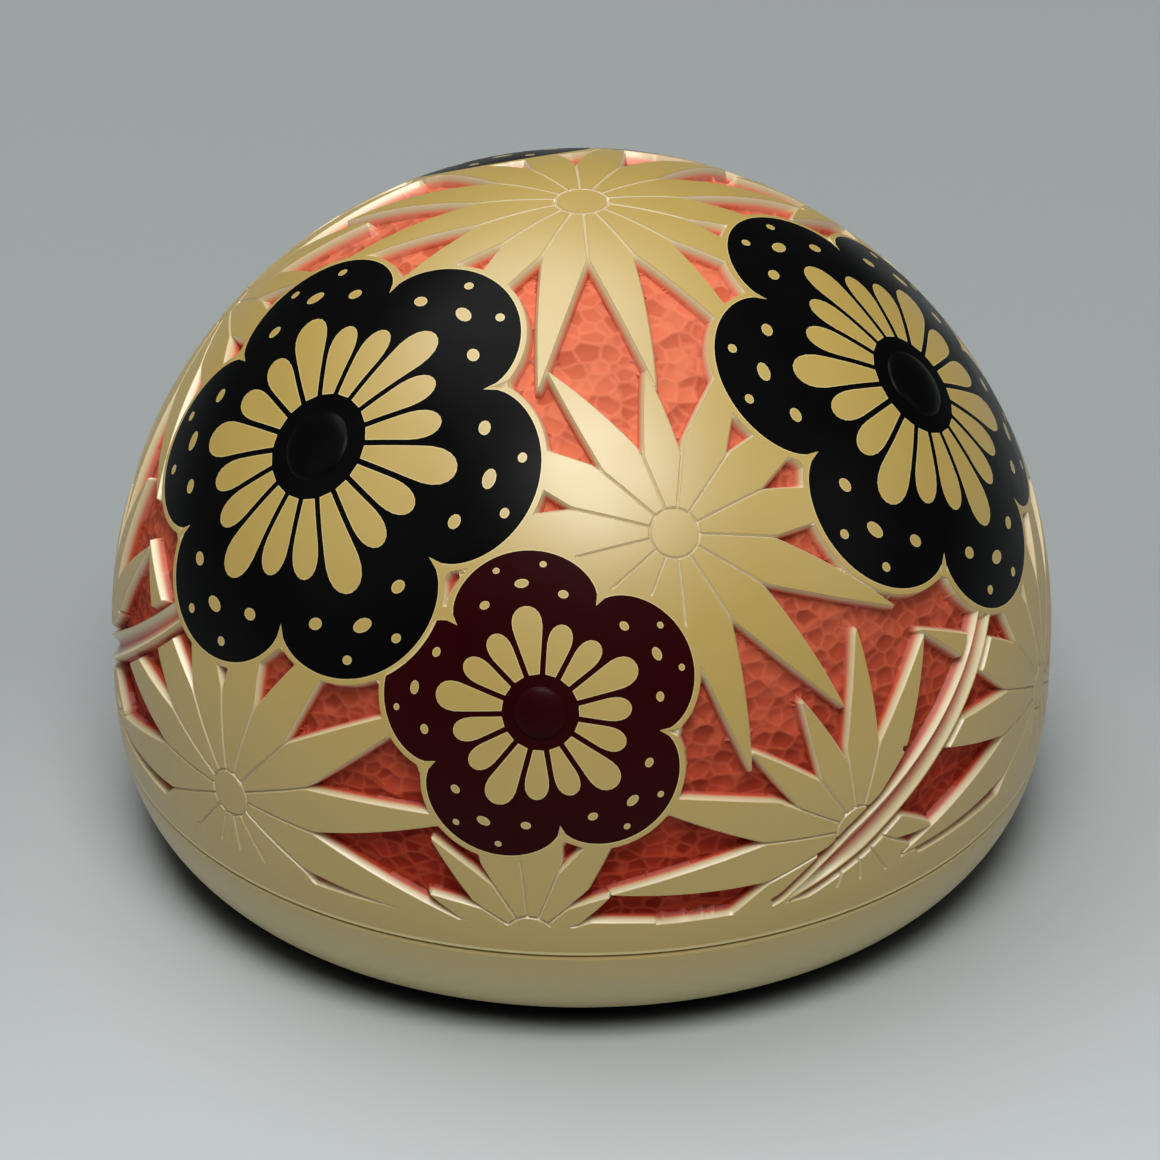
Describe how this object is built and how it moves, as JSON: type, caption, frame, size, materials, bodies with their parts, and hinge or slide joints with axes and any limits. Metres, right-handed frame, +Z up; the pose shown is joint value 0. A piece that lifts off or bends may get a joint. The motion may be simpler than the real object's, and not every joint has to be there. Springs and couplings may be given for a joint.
{
  "type": "incense container",
  "caption": "Low domed round box whose lid lifts off a raised seat on a shallow footed bowl, with carved layers and inlaid blossoms.",
  "frame": {"origin": "centre of the foot, on the surface that it stands on", "axes": "+Z up through the top of the lid; the side shown in the picture faces -Y"},
  "size_m": [0.086, 0.086, 0.0619],
  "materials": {
    "tan_lacquer": "satin lacquer",
    "red_lacquer": "satin lacquer with small gouge marks",
    "black_lacquer": "polished lacquer",
    "maroon_lacquer": "polished lacquer",
    "wood_core": "turned wood, covered by lacquer"
  },
  "bodies": {
    "base": {"base_core": "wood_core", "base_tan_layer": "tan_lacquer", "base_lining": "black_lacquer", "base_underside": "black_lacquer", "seat_upstand": "black_lacquer", "foot_ring": "black_lacquer"},
    "lid": {"lid_tan_layer": "tan_lacquer", "lid_red_layer": "red_lacquer", "lid_core": "wood_core", "lid_lining": "black_lacquer", "black_blossom_1": "black_lacquer", "black_blossom_2": "black_lacquer", "black_blossom_3": "black_lacquer", "maroon_blossom_1": "maroon_lacquer", "maroon_blossom_2": "maroon_lacquer", "maroon_blossom_3": "maroon_lacquer", "black_boss_1": "black_lacquer", "black_boss_2": "black_lacquer", "black_boss_3": "black_lacquer", "maroon_boss_1": "maroon_lacquer", "maroon_boss_2": "maroon_lacquer", "maroon_boss_3": "maroon_lacquer"}
  },
  "joints": [
    {"name": "lid_lift", "type": "slide", "parent": "base", "child": "lid", "axis": [0, 0, 1], "range_m": [0, 0.08]}
  ]
}
